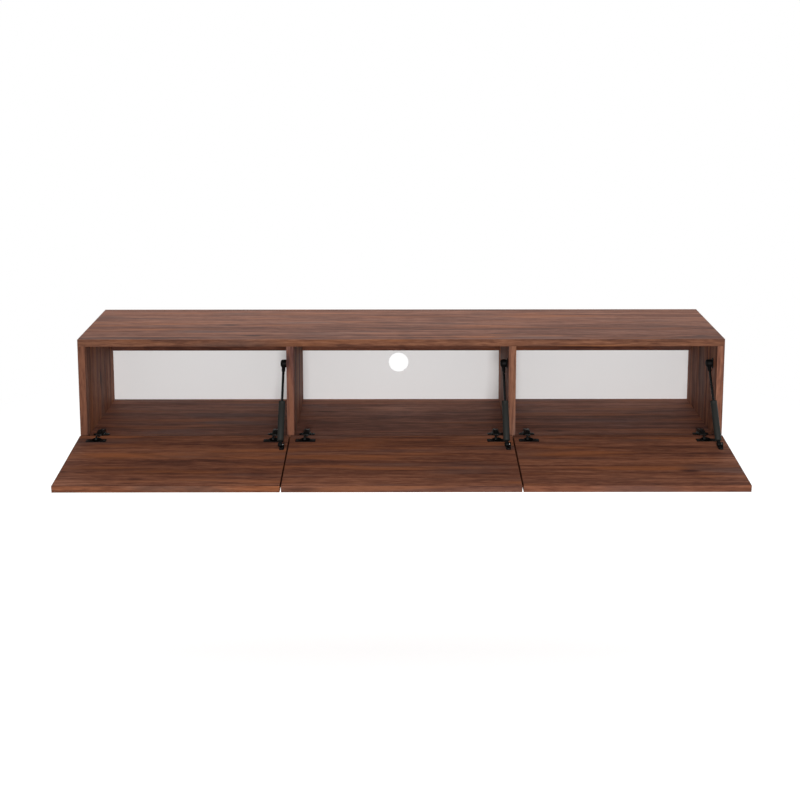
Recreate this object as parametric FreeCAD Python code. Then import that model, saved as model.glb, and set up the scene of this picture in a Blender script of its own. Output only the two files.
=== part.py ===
import FreeCAD, Part
import math
import os

# Floating media console: a wall-hung cabinet of three bays, each with a drop-down
# door on two concealed hinges and a gas strut. The doors are drawn open.
# Origin: on the wall plane, midway between the middle rail's wall screws.
# +X runs along the cabinet, +Z up, and the front faces -Y. Millimetres.

Vector = FreeCAD.Vector
X_AXIS = Vector(1, 0, 0)
Y_AXIS = Vector(0, 1, 0)
Z_AXIS = Vector(0, 0, 1)

# ---- Driving dimensions: cabinet
WIDTH = 1800.0
HEIGHT = 302.0
DEPTH = 340.0               # cabinet without its doors
BOARD = 20.0                # top, bottom, sides and dividers
MIDDLE_BAY = 600.0          # clear width between the dividers
BACK_THICK = 3.0
REBATE_LAND = 10.0          # board left outside the back's rebate
BACK_CLEARANCE = 0.5        # round each back panel
RAIL_THICK = 18.0
RAIL_HEIGHT = 103.0
WALL_SCREW_DROP = 70.0      # wall screws below the top surface
WALL_SCREW_SPACING = 400.0
WALL_SCREW_HOLE = 6.0
CABLE_HOLE = 60.0
CABLE_HOLE_OFFSET = -7.0    # from the middle of the cabinet
CABLE_HOLE_DROP = 165.0     # below the top surface

# ---- Driving dimensions: doors and their swing
DOOR_THICK = 18.0
DOOR_REVEAL = 1.5           # cabinet edge left showing above, below and at the ends
DOOR_GAP = 3.0              # between neighbouring doors
DOOR_OVERLAY = 10.0         # middle door over each divider
CLOSED_GAP = 2.5            # between a closed door and the cabinet
OPEN_ANGLE = 95.2
PIVOT_DEPTH = 17.7          # turning axis behind the door's inner face
PIVOT_HEIGHT = 9.0          # turning axis above the door's lower edge

# ---- Driving dimensions: concealed hinge
HINGE_INSET = 34.0          # hinge centre from the bay's wall
CUP_RADIUS = 13.0
CUP_DEPTH = 12.0
CUP_EDGE = 13.5             # wood left between the cup and the door's lower edge
CUP_WALL = 1.0
CUP_FLANGE = 0.8
CUP_RIM = 1.0               # flange beyond the cup, all round
CUP_SCREW_OFFSET = 5.0      # screw line beyond the cup's centre
CUP_SCREW_SPACING = 45.0
WING_WIDTH = 18.0           # width of the flange's two wings
WING_CORNER = 3.0
CUP_SCREW_EDGE = 5.5        # from a screw's centre to the wing's end
ARM_WIDTH = 15.0
ARM_HEIGHT = 11.5
ARM_REAR = 40.0             # arm's rear end behind the cabinet's front
ARM_FRONT_DROP = 2.0        # arm's top lower than its highest line, over the cabinet's front
ARM_REAR_DROP = 3.5
ARM_NOSE_ANGLE = 68.0       # where the arm's nose ends, round the turning axis
PLATE_HEIGHT = 6.0
PLATE_FRONT = 6.0           # plate behind the cabinet's front
PLATE_WING_SPAN = 45.0
PLATE_WING_LENGTH = 12.0
PLATE_WING_THICK = 2.5
PLATE_WING_FRONT = 16.0
LINK_THICK = 1.8
LINK_WIDTH = 5.3
LINK_CLEARANCE = 0.3
LINK_OFF_DOOR = 0.45        # links clear of the door's lower edge as it swings by
LINK_SLOT_MARGIN = 15.0     # degrees that the links' slot in the arm runs past the nose
LINK_SLOT_START = 15.0
INNER_LINK_SPAN = (63.8, 102.4)   # degrees round the turning axis, door open
OUTER_LINK_SPAN = (99.0, 137.5)

# ---- Driving dimensions: gas strut
STRUT_INSET = 11.5          # strut axis from the bay's right wall
WALL_BALL_DEPTH = 45.0      # upper ball behind the cabinet's front
WALL_BALL_DROP = 82.0       # upper ball below the top surface
DOOR_BALL_UP = 78.0         # lower ball above the door's lower edge, door closed
DOOR_BALL_LIFT = 10.0       # lower ball off the door's inner face
BALL_RADIUS = 4.0
BALL_CLEARANCE = 0.08
STUD_RADIUS = 2.2
UPPER_HEAD = (11.0, 8.5)    # radius and half width of the drum round each ball
LOWER_HEAD = (6.5, 6.0)
SOCKET_SHANK_RADIUS = 5.0
UPPER_REACH = 23.0          # upper ball to the end of its socket
LOWER_REACH = 10.0          # lower ball to the tube
TUBE_RADIUS = 9.0
TUBE_WALL = 1.0
TUBE_END = 3.0
ROD_RADIUS = 3.5
ROD_SPARE = 1.5             # rod still outside the tube when the door is closed
ROD_CLEARANCE = 0.05
GUIDE_LENGTH = 8.0
GUIDE_COLLAR = 1.0
PISTON_LENGTH = 5.0
PISTON_CLEARANCE = 0.1
PISTON_REST = 0.5           # piston short of the guide when the door is open
BRACKET_THICK = 2.0
WALL_BRACKET_HEIGHT = 30.0
WALL_BRACKET_WIDTH = 12.0
DOOR_BRACKET_LENGTH = 26.0
DOOR_BRACKET_WIDTH = 13.0
DOOR_TAB_CLEARANCE = 0.8    # bracket's tab from the bay's wall
DOOR_TAB_LENGTH = 12.0

# ---- Driving dimensions: fasteners
DOWEL_RADIUS = 4.0
DOWEL_LENGTH = 30.0
DOWEL_CLEARANCE = 0.05
DOWEL_END_MARGIN = 60.0     # first and last dowel from a board's edge
RAIL_DOWEL_MARGIN = 20.0
# shank radius, length under the head, head radius, head height
BIG_SCREW = (2.5, 50.0, 5.0, 3.0)
SMALL_SCREW = (1.75, 12.0, 3.2, 1.0)
NAIL = (0.8, 16.0, 2.2, 0.8)
SCREW_EDGE = 4.2            # from a bracket screw's centre to the bracket's end
NAIL_PITCH = 120.0
NAIL_MARGIN = 16.0          # last nail from a panel's corner
DRILL_THROUGH = 1.0         # how far a drill that makes a through hole starts and ends outside

# ---- Planes that the pieces share
HALF_WIDTH = WIDTH / 2
FRONT = -DEPTH
TOP = WALL_SCREW_DROP
CEILING = TOP - BOARD
BASE = TOP - HEIGHT
SHELF = BASE + BOARD        # upper face of the bottom panel
INNER_SIDE = HALF_WIDTH - BOARD
DIVIDER_INNER = MIDDLE_BAY / 2
DIVIDER_OUTER = DIVIDER_INNER + BOARD
DIVIDER_CENTRE = DIVIDER_INNER + BOARD / 2
DOOR_FACE = FRONT - CLOSED_GAP          # inner face of a closed door
DOOR_BASE = BASE + DOOR_REVEAL
DOOR_HEAD = TOP - DOOR_REVEAL
PIVOT = Vector(0, DOOR_FACE - PIVOT_DEPTH, DOOR_BASE + PIVOT_HEIGHT)

BAYS = {
    "left": (-INNER_SIDE, -DIVIDER_OUTER),
    "middle": (-DIVIDER_INNER, DIVIDER_INNER),
    "right": (DIVIDER_OUTER, INNER_SIDE),
}
MIDDLE_DOOR_EDGE = DIVIDER_INNER + DOOR_OVERLAY
OUTER_DOOR_EDGE = MIDDLE_DOOR_EDGE + DOOR_GAP
DOOR_END = HALF_WIDTH - DOOR_REVEAL
DOORS = {
    "left": (-DOOR_END, -OUTER_DOOR_EDGE),
    "middle": (-MIDDLE_DOOR_EDGE, MIDDLE_DOOR_EDGE),
    "right": (OUTER_DOOR_EDGE, DOOR_END),
}
# the inner face of each bay's right wall carries that bay's strut
UPRIGHTS = (-HALF_WIDTH + BOARD / 2, -DIVIDER_CENTRE, DIVIDER_CENTRE, HALF_WIDTH - BOARD / 2)


# ---- Shapes
def block(x0, x1, y0, y1, z0, z1):
    return Part.makeBox(x1 - x0, y1 - y0, z1 - z0, Vector(x0, y0, z0))


def cylinder(start, direction, radius, length):
    return Part.makeCylinder(radius, length, start, direction)


def extruded(outline, x0, x1):
    """A flat outline of edges at x = 0, given its thickness along X."""
    face = Part.Face(Part.Wire(outline))
    face.translate(Vector(x0, 0, 0))
    return face.extrude(Vector(x1 - x0, 0, 0))


def polygon(points, x0, x1):
    corners = [Vector(0, y, z) for y, z in points]
    return extruded(Part.makePolygon(corners + corners[:1]).Edges, x0, x1)


def on_swing(radius, angle):
    """A point at x = 0 on a circle round the doors' turning axis."""
    turn = math.radians(angle)
    return PIVOT + Vector(0, radius * math.cos(turn), radius * math.sin(turn))


def swing_strip(x0, x1, inner, outer, start, end):
    """A curved strip that keeps its distance from the turning axis."""
    middle = (start + end) / 2
    edges = [
        Part.Arc(on_swing(outer, start), on_swing(outer, middle), on_swing(outer, end)).toShape(),
        Part.LineSegment(on_swing(outer, end), on_swing(inner, end)).toShape(),
        Part.Arc(on_swing(inner, end), on_swing(inner, middle), on_swing(inner, start)).toShape(),
        Part.LineSegment(on_swing(inner, start), on_swing(outer, start)).toShape(),
    ]
    return extruded(edges, x0, x1)


def opened(shape):
    """Turn a piece built on the closed door to where the open door holds it."""
    turned = shape.copy()
    turned.rotate(PIVOT, X_AXIS, OPEN_ANGLE)
    return turned


def door_point(x, into_door, up):
    """A point on a closed door, from its inner face and its lower edge."""
    return Vector(x, DOOR_FACE - into_door, DOOR_BASE + up)


def screw(seat, direction, sizes):
    """A screw whose head stands on the seat and whose shank goes along direction."""
    shank_radius, length, head_radius, head_height = sizes
    shank = cylinder(seat, direction, shank_radius, length)
    return shank.fuse(cylinder(seat, direction * -1, head_radius, head_height)).removeSplitter()


def flush_screw(mouth, direction, sizes):
    """A screw or nail whose head lies flush with the surface it goes through."""
    return screw(mouth + direction * sizes[3], direction, sizes)


def without(shape, tools):
    return shape.cut(Part.makeCompound(tools)) if tools else shape


def evenly(start, end, pitch):
    """Places from start to end, no further apart than the pitch."""
    steps = max(1, math.ceil((end - start) / pitch))
    return [start + (end - start) * i / steps for i in range(steps + 1)]


# ---- Dowels, screws and nails of the cabinet
def dowel_seats():
    """The start and direction of each dowel."""
    seats = []
    end_grain = DOWEL_LENGTH - BOARD / 2
    depths = evenly(FRONT + DOWEL_END_MARGIN, -DOWEL_END_MARGIN, DEPTH / 2)
    for y in depths:
        for x in UPRIGHTS:
            seats.append((Vector(x, y, CEILING - end_grain), Z_AXIS))
        for side in (-1, 1):
            seats.append((Vector(side * (INNER_SIDE - end_grain), y, BASE + BOARD / 2), X_AXIS * side))
    rail_y = -BACK_THICK - RAIL_THICK / 2
    in_wall = BOARD / 2 - BACK_CLEARANCE
    for left, right in BAYS.values():
        for z in (CEILING - RAIL_DOWEL_MARGIN, CEILING - RAIL_HEIGHT + RAIL_DOWEL_MARGIN):
            seats.append((Vector(left - in_wall, rail_y, z), X_AXIS))
            seats.append((Vector(right + in_wall, rail_y, z), X_AXIS * -1))
    return seats


def divider_screws():
    heads = []
    for x in (-DIVIDER_CENTRE, DIVIDER_CENTRE):
        for y in evenly(FRONT + DOWEL_END_MARGIN, -DOWEL_END_MARGIN, DEPTH / 2):
            heads.append(flush_screw(Vector(x, y, BASE), Z_AXIS, BIG_SCREW))
    return heads


DOWELS = [cylinder(at, way, DOWEL_RADIUS, DOWEL_LENGTH) for at, way in dowel_seats()]
DOWEL_BORES = [
    cylinder(at, way, DOWEL_RADIUS + DOWEL_CLEARANCE, DOWEL_LENGTH) for at, way in dowel_seats()
]
DIVIDER_SCREWS = divider_screws()


# ---- Cabinet boards
def back_recess():
    return block(
        -HALF_WIDTH + REBATE_LAND, HALF_WIDTH - REBATE_LAND, -BACK_THICK, BACK_THICK,
        BASE + REBATE_LAND, TOP - REBATE_LAND,
    )


def back_spans():
    """Left and right edge of each bay's back panel."""
    end = HALF_WIDTH - REBATE_LAND - BACK_CLEARANCE
    seam = DIVIDER_CENTRE
    return {
        "left": (-end, -seam - BACK_CLEARANCE),
        "middle": (-seam + BACK_CLEARANCE, seam - BACK_CLEARANCE),
        "right": (seam + BACK_CLEARANCE, end),
    }


def nails(bay):
    """Nails round one back panel, into the middle of the wood behind its edge."""
    left, right = back_spans()[bay]
    low = BASE + REBATE_LAND + BACK_CLEARANCE
    high = TOP - REBATE_LAND - BACK_CLEARANCE
    inset = (BOARD - REBATE_LAND - BACK_CLEARANCE) / 2
    into_board = Y_AXIS * -1
    places = [(x, z) for x in evenly(left + NAIL_MARGIN, right - NAIL_MARGIN, NAIL_PITCH)
              for z in (low + inset, high - inset)]
    places += [(x, z) for z in evenly(low + NAIL_MARGIN, high - NAIL_MARGIN, NAIL_PITCH)
               for x in (left + inset, right - inset)]
    return [flush_screw(Vector(x, 0, z), into_board, NAIL) for x, z in places]


NAILS = {bay: nails(bay) for bay in BAYS}
ALL_NAILS = [nail for group in NAILS.values() for nail in group]


def wall_screw_holes(bay):
    left, right = BAYS[bay]
    middle = (left + right) / 2
    start = -BACK_THICK - RAIL_THICK - DRILL_THROUGH
    return [
        cylinder(Vector(middle + side * WALL_SCREW_SPACING / 2, start, 0), Y_AXIS,
                 WALL_SCREW_HOLE / 2, BACK_THICK + RAIL_THICK + DRILL_THROUGH * 2)
        for side in (-1, 1)
    ]


def near(shape, tools):
    """The tools that reach into a shape's box."""
    return [tool for tool in tools if shape.BoundBox.intersect(tool.BoundBox)]


def drilled(board):
    return without(board, near(board, DOWEL_BORES + DIVIDER_SCREWS + ALL_NAILS + HARDWARE_SCREWS))


def back_panel(bay):
    left, right = back_spans()[bay]
    panel = block(
        left, right, -BACK_THICK, 0,
        BASE + REBATE_LAND + BACK_CLEARANCE, TOP - REBATE_LAND - BACK_CLEARANCE,
    )
    panel = without(panel, NAILS[bay] + wall_screw_holes(bay))
    if bay == "middle":
        centre = Vector(CABLE_HOLE_OFFSET, -BACK_THICK, TOP - CABLE_HOLE_DROP)
        panel = panel.cut(cylinder(centre, Y_AXIS, CABLE_HOLE / 2, BACK_THICK))
    return panel


def wall_rail(bay):
    left, right = BAYS[bay]
    rail = block(left, right, -BACK_THICK - RAIL_THICK, -BACK_THICK, CEILING - RAIL_HEIGHT, CEILING)
    return drilled(without(rail, wall_screw_holes(bay)))


def cabinet_boards():
    recess = back_recess()
    divider_rear = -BACK_THICK
    boards = {
        "top_panel": block(-HALF_WIDTH, HALF_WIDTH, FRONT, 0, CEILING, TOP).cut(recess),
        "bottom_panel": block(-INNER_SIDE, INNER_SIDE, FRONT, 0, BASE, SHELF).cut(recess),
        "left_side": block(-HALF_WIDTH, -INNER_SIDE, FRONT, 0, BASE, CEILING).cut(recess),
        "right_side": block(INNER_SIDE, HALF_WIDTH, FRONT, 0, BASE, CEILING).cut(recess),
        "left_divider": block(-DIVIDER_OUTER, -DIVIDER_INNER, FRONT, divider_rear, SHELF, CEILING),
        "right_divider": block(DIVIDER_INNER, DIVIDER_OUTER, FRONT, divider_rear, SHELF, CEILING),
    }
    return {name: drilled(board) for name, board in boards.items()}


# ---- Hinges
CUP_UP = CUP_EDGE + CUP_RADIUS          # cup centre above the door's lower edge
DOOR_SWEEP = math.hypot(PIVOT_DEPTH, PIVOT_HEIGHT)      # reach of the door's inner lower edge
LINK_INNER = DOOR_SWEEP + LINK_OFF_DOOR
LINK_OUTER = LINK_INNER + LINK_THICK
ARM_UNDERSIDE = SHELF + PLATE_HEIGHT
ARM_TOP = ARM_UNDERSIDE + ARM_HEIGHT
PLATE_SCREW_SPAN = (PLATE_WING_SPAN + ARM_WIDTH) / 2
PLATE_SCREW_Y = FRONT + PLATE_WING_FRONT + PLATE_WING_LENGTH / 2


def hinge_places(bay):
    left, right = BAYS[bay]
    return (left + HINGE_INSET, right - HINGE_INSET)


def cup_body(x):
    return cylinder(door_point(x, 0, CUP_UP), Y_AXIS * -1, CUP_RADIUS, CUP_DEPTH)


def hinge_cup(x):
    """Cup with its flange: a rim round the mouth and a bar for the two screws."""
    half = CUP_SCREW_SPACING / 2 + CUP_SCREW_EDGE
    middle = door_point(x, 0, CUP_UP + CUP_SCREW_OFFSET).z
    bar = block(x - half, x + half, DOOR_FACE, DOOR_FACE + CUP_FLANGE,
                middle - WING_WIDTH / 2, middle + WING_WIDTH / 2)
    bar = bar.makeFillet(WING_CORNER, [edge for edge in bar.Edges if edge.BoundBox.YLength > CUP_FLANGE / 2])
    rim = cylinder(door_point(x, 0, CUP_UP), Y_AXIS, CUP_RADIUS + CUP_RIM, CUP_FLANGE)
    cup = cup_body(x).fuse([bar, rim]).removeSplitter()
    hollow = cylinder(door_point(x, CUP_DEPTH - CUP_WALL, CUP_UP), Y_AXIS,
                      CUP_RADIUS - CUP_WALL, CUP_DEPTH + CUP_FLANGE)
    return without(cup, [hollow] + cup_screws(x))


def cup_screws(x):
    up = CUP_UP + CUP_SCREW_OFFSET
    return [
        screw(door_point(x + side * CUP_SCREW_SPACING / 2, -CUP_FLANGE, up), Y_AXIS * -1, SMALL_SCREW)
        for side in (-1, 1)
    ]


def hinge_arm(x):
    """Arm from the mounting plate to the nose, which carries the links over the door's edge."""
    nose = on_swing(LINK_OUTER + LINK_CLEARANCE + CUP_WALL, ARM_NOSE_ANGLE)
    tip = on_swing(DOOR_SWEEP, ARM_NOSE_ANGLE)
    rear = FRONT + ARM_REAR
    outline = [
        (tip.y, tip.z), (nose.y, nose.z), (FRONT, ARM_TOP - ARM_FRONT_DROP),
        (FRONT + PLATE_WING_FRONT, ARM_TOP), (rear, ARM_TOP - ARM_REAR_DROP),
        (rear, ARM_UNDERSIDE), (FRONT - PLATE_HEIGHT, ARM_UNDERSIDE),
    ]
    arm = polygon(outline, x - ARM_WIDTH / 2, x + ARM_WIDTH / 2)
    gate = cylinder(PIVOT + X_AXIS * (x - ARM_WIDTH), X_AXIS, DOOR_SWEEP + LINK_CLEARANCE, ARM_WIDTH * 2)
    half_slot = LINK_WIDTH + LINK_CLEARANCE * 2
    slot = swing_strip(x - half_slot, x + half_slot, LINK_INNER - LINK_CLEARANCE,
                       LINK_OUTER + LINK_CLEARANCE, LINK_SLOT_START,
                       ARM_NOSE_ANGLE + LINK_SLOT_MARGIN)
    return arm.cut(gate).cut(slot)


def hinge_plate(x):
    body = block(x - ARM_WIDTH / 2, x + ARM_WIDTH / 2, FRONT + PLATE_FRONT, FRONT + ARM_REAR,
                 SHELF, ARM_UNDERSIDE)
    half = PLATE_WING_SPAN / 2
    wing_y = FRONT + PLATE_WING_FRONT
    wings = block(x - half, x + half, wing_y, wing_y + PLATE_WING_LENGTH,
                  SHELF, SHELF + PLATE_WING_THICK)
    return without(body.fuse(wings).removeSplitter(), plate_screws(x))


def plate_screws(x):
    seat = SHELF + PLATE_WING_THICK
    return [
        screw(Vector(x + side * PLATE_SCREW_SPAN / 2, PLATE_SCREW_Y, seat), Z_AXIS * -1, SMALL_SCREW)
        for side in (-1, 1)
    ]


def hinge_link(x, side, span):
    """One of the two curved links that lie side by side in the arm's nose."""
    near_edge = x + side * LINK_CLEARANCE
    far_edge = near_edge + side * LINK_WIDTH
    return swing_strip(min(near_edge, far_edge), max(near_edge, far_edge),
                       LINK_INNER, LINK_OUTER, *span)


# ---- Gas struts
def strut_x(bay):
    return BAYS[bay][1] - STRUT_INSET


def wall_ball(bay):
    return Vector(strut_x(bay), FRONT + WALL_BALL_DEPTH, TOP - WALL_BALL_DROP)


def closed_door_ball(bay):
    return door_point(strut_x(bay), -DOOR_BALL_LIFT, DOOR_BALL_UP)


def open_door_ball(bay):
    return opened(Part.Vertex(closed_door_ball(bay))).Point


OPEN_LENGTH = (open_door_ball("left") - wall_ball("left")).Length
STROKE = OPEN_LENGTH - (closed_door_ball("left") - wall_ball("left")).Length
TUBE_START = UPPER_REACH + STROKE + ROD_SPARE      # from the upper ball, door open
TUBE_LENGTH = OPEN_LENGTH - LOWER_REACH - TUBE_START
TUBE_BORE = TUBE_RADIUS - TUBE_WALL
PISTON_START = TUBE_START + GUIDE_LENGTH + PISTON_REST


def along(bay, distance):
    """A point on the strut's axis, measured from the upper ball."""
    return wall_ball(bay) + strut_way(bay) * distance


def strut_way(bay):
    way = open_door_ball(bay) - wall_ball(bay)
    return way.normalize()


def ball_pocket(centre, half_width):
    """The ball's seat and the opening that its stud leaves by, towards the wall."""
    pocket = Part.makeSphere(BALL_RADIUS + BALL_CLEARANCE, centre, X_AXIS)
    way_out = cylinder(centre, X_AXIS, STUD_RADIUS + LINK_CLEARANCE, half_width * 2)
    return pocket.fuse(way_out)


def socket(centre, way, reach, head):
    radius, half_width = head
    drum = cylinder(centre - X_AXIS * half_width, X_AXIS, radius, half_width * 2)
    shank = cylinder(centre, way, SOCKET_SHANK_RADIUS, reach)
    return drum.fuse(shank).cut(ball_pocket(centre, half_width))


def ball_stud(centre, reach):
    ball = Part.makeSphere(BALL_RADIUS, centre, X_AXIS)
    return ball.fuse(cylinder(centre, X_AXIS, STUD_RADIUS, reach))


def strut_tube(bay):
    way = strut_way(bay)
    tube = cylinder(along(bay, TUBE_START), way, TUBE_RADIUS, TUBE_LENGTH)
    bore = cylinder(along(bay, TUBE_START), way, TUBE_BORE, TUBE_LENGTH - TUBE_END)
    return tube.cut(bore)


def rod_guide(bay):
    way = strut_way(bay)
    body = cylinder(along(bay, TUBE_START), way, TUBE_BORE, GUIDE_LENGTH)
    collar = cylinder(along(bay, TUBE_START - GUIDE_COLLAR), way, TUBE_RADIUS, GUIDE_COLLAR)
    hole = cylinder(along(bay, TUBE_START - GUIDE_COLLAR), way, ROD_RADIUS + ROD_CLEARANCE,
                    GUIDE_LENGTH + GUIDE_COLLAR)
    return body.fuse(collar).removeSplitter().cut(hole)


def strut_rod(bay):
    start = UPPER_REACH - SOCKET_SHANK_RADIUS
    length = PISTON_START + PISTON_LENGTH - start
    return cylinder(along(bay, start), strut_way(bay), ROD_RADIUS, length)


def piston(bay):
    way = strut_way(bay)
    disc = cylinder(along(bay, PISTON_START), way, TUBE_BORE - PISTON_CLEARANCE, PISTON_LENGTH)
    return disc.cut(strut_rod(bay))


def upper_socket(bay):
    """Socket on the rod's end, with the ball that it holds."""
    centre = wall_ball(bay)
    body = socket(centre, strut_way(bay), UPPER_REACH, UPPER_HEAD).cut(strut_rod(bay))
    return Part.makeCompound([body, ball_stud(centre, UPPER_HEAD[1])])


def lower_socket(bay):
    centre = open_door_ball(bay)
    return socket(centre, strut_way(bay) * -1, LOWER_REACH, LOWER_HEAD)


def wall_bracket(bay):
    """Plate on the bay's wall, with the boss that the upper ball turns against."""
    wall = BAYS[bay][1]
    ball = wall_ball(bay)
    half_height = WALL_BRACKET_HEIGHT / 2
    half_width = WALL_BRACKET_WIDTH / 2
    plate = block(wall - BRACKET_THICK, wall, ball.y - half_width, ball.y + half_width,
                  ball.z - half_height, ball.z + half_height)
    boss_length = STRUT_INSET - UPPER_HEAD[1] - LINK_CLEARANCE
    boss = cylinder(Vector(wall - boss_length, ball.y, ball.z), X_AXIS, BALL_RADIUS, boss_length)
    return without(plate.fuse(boss).removeSplitter(), wall_bracket_screws(bay))


def wall_bracket_screws(bay):
    ball = wall_ball(bay)
    seat = BAYS[bay][1] - BRACKET_THICK
    offset = WALL_BRACKET_HEIGHT / 2 - SCREW_EDGE
    return [screw(Vector(seat, ball.y, ball.z + side * offset), X_AXIS, SMALL_SCREW) for side in (-1, 1)]


def door_bracket(bay):
    """Angle on the closed door's inner face: a foot, and a tab beside the wall."""
    wall = BAYS[bay][1]
    ball = closed_door_ball(bay)
    tab_face = wall - DOOR_TAB_CLEARANCE
    half = DOOR_BRACKET_LENGTH / 2
    half_tab = DOOR_TAB_LENGTH / 2
    foot = block(tab_face - DOOR_BRACKET_WIDTH, tab_face, DOOR_FACE, DOOR_FACE + BRACKET_THICK,
                 ball.z - half, ball.z + half)
    tab = block(tab_face - BRACKET_THICK, tab_face, DOOR_FACE, ball.y + half_tab,
                ball.z - half_tab, ball.z + half_tab)
    angle = without(foot.fuse(tab).removeSplitter(), door_bracket_screws(bay))
    stud = ball_stud(ball, STRUT_INSET - DOOR_TAB_CLEARANCE - BRACKET_THICK)
    return Part.makeCompound([angle, stud])


def door_bracket_screws(bay):
    x = BAYS[bay][1] - DOOR_TAB_CLEARANCE - DOOR_BRACKET_WIDTH / 2
    offset = DOOR_BRACKET_LENGTH / 2 - SCREW_EDGE
    return [
        screw(door_point(x, -BRACKET_THICK, DOOR_BALL_UP + side * offset), Y_AXIS * -1, SMALL_SCREW)
        for side in (-1, 1)
    ]


# ---- Doors
def door(bay):
    left, right = DOORS[bay]
    panel = block(left, right, DOOR_FACE - DOOR_THICK, DOOR_FACE, DOOR_BASE, DOOR_HEAD)
    tools = door_bracket_screws(bay)
    for x in hinge_places(bay):
        tools += [cup_body(x)] + cup_screws(x)
    return without(panel, tools)


HARDWARE_SCREWS = [
    one for bay in BAYS for one in wall_bracket_screws(bay)
    + [each for x in hinge_places(bay) for each in plate_screws(x)]
]


# ---- Assembly
def cabinet_nodes():
    nodes = cabinet_boards()
    hinges = [x for bay in BAYS for x in hinge_places(bay)]
    for bay in BAYS:
        nodes["back_panel_" + bay] = back_panel(bay)
        nodes["wall_rail_" + bay] = wall_rail(bay)
    nodes["assembly_dowels"] = Part.makeCompound(DOWELS)
    nodes["divider_screws"] = Part.makeCompound(DIVIDER_SCREWS)
    nodes["back_panel_nails"] = Part.makeCompound(ALL_NAILS)
    nodes["hinge_arms"] = Part.makeCompound([hinge_arm(x) for x in hinges])
    nodes["hinge_plates"] = Part.makeCompound([hinge_plate(x) for x in hinges])
    nodes["hinge_plate_screws"] = Part.makeCompound([one for x in hinges for one in plate_screws(x)])
    nodes["strut_wall_brackets"] = Part.makeCompound([wall_bracket(bay) for bay in BAYS])
    nodes["wall_bracket_screws"] = Part.makeCompound(
        [one for bay in BAYS for one in wall_bracket_screws(bay)]
    )
    return nodes


def door_nodes(bay):
    hinges = hinge_places(bay)
    cups = Part.makeCompound([hinge_cup(x) for x in hinges])
    screws = Part.makeCompound([one for x in hinges for one in cup_screws(x)])
    return {
        "door_" + bay: opened(door(bay)),
        "hinge_cups_" + bay: opened(cups),
        "hinge_cup_screws_" + bay: opened(screws),
        "strut_door_bracket_" + bay: opened(door_bracket(bay)),
        "door_bracket_screws_" + bay: opened(Part.makeCompound(door_bracket_screws(bay))),
        "hinge_inner_links_" + bay: Part.makeCompound([hinge_link(x, 1, INNER_LINK_SPAN) for x in hinges]),
        "hinge_outer_links_" + bay: Part.makeCompound([hinge_link(x, -1, OUTER_LINK_SPAN) for x in hinges]),
        "strut_tube_" + bay: strut_tube(bay),
        "strut_rod_guide_" + bay: rod_guide(bay),
        "strut_lower_socket_" + bay: lower_socket(bay),
        "strut_rod_" + bay: strut_rod(bay),
        "strut_piston_" + bay: piston(bay),
        "strut_upper_socket_" + bay: upper_socket(bay),
    }


def main():
    os.makedirs("parts", exist_ok=True)
    nodes = cabinet_nodes()
    for bay in BAYS:
        nodes.update(door_nodes(bay))
    for name, shape in nodes.items():
        shape.exportStep("parts/" + name + ".step")


main()
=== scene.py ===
import math

import bmesh
import bpy
from mathutils import Matrix, Vector


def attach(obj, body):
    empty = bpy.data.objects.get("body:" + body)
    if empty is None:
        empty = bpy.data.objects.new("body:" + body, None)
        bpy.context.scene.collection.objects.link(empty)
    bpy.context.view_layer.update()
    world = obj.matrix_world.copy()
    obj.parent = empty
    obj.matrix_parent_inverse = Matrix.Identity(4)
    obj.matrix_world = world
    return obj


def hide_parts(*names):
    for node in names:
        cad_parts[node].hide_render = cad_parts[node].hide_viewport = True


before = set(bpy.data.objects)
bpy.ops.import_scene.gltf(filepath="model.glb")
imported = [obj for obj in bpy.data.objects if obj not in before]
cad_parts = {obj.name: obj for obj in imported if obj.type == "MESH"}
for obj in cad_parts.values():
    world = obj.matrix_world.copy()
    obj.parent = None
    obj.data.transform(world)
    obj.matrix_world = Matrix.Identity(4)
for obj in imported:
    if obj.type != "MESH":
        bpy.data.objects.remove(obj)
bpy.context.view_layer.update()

# Floating media console. Shapes are written in millimetres, in the frame of the
# cabinet (+X along it, the front faces -Y), and become metres in finished().
MILLIMETRE = 0.001
X_AXIS, Y_AXIS, Z_AXIS = Vector((1, 0, 0)), Vector((0, 1, 0)), Vector((0, 0, 1))
QUARTER_TURN = math.pi / 2

# ---- Cabinet
HALF_WIDTH = 900.0
FRONT = -340.0
TOP = 70.0
BOARD = 20.0
CEILING = TOP - BOARD
BASE = -232.0
SHELF = BASE + BOARD
INNER_SIDE = HALF_WIDTH - BOARD
DIVIDER_INNER = 300.0
DIVIDER_OUTER = DIVIDER_INNER + BOARD
BACK_THICK = 3.0
REBATE_LAND = 10.0          # what the back's rebate leaves of a board's thickness
BAND = 0.8                  # edge band on every edge that shows
BAND_EASE = BAND * 0.3      # rounding of a band's edges
EASE = 0.45                 # and of a board's

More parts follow.
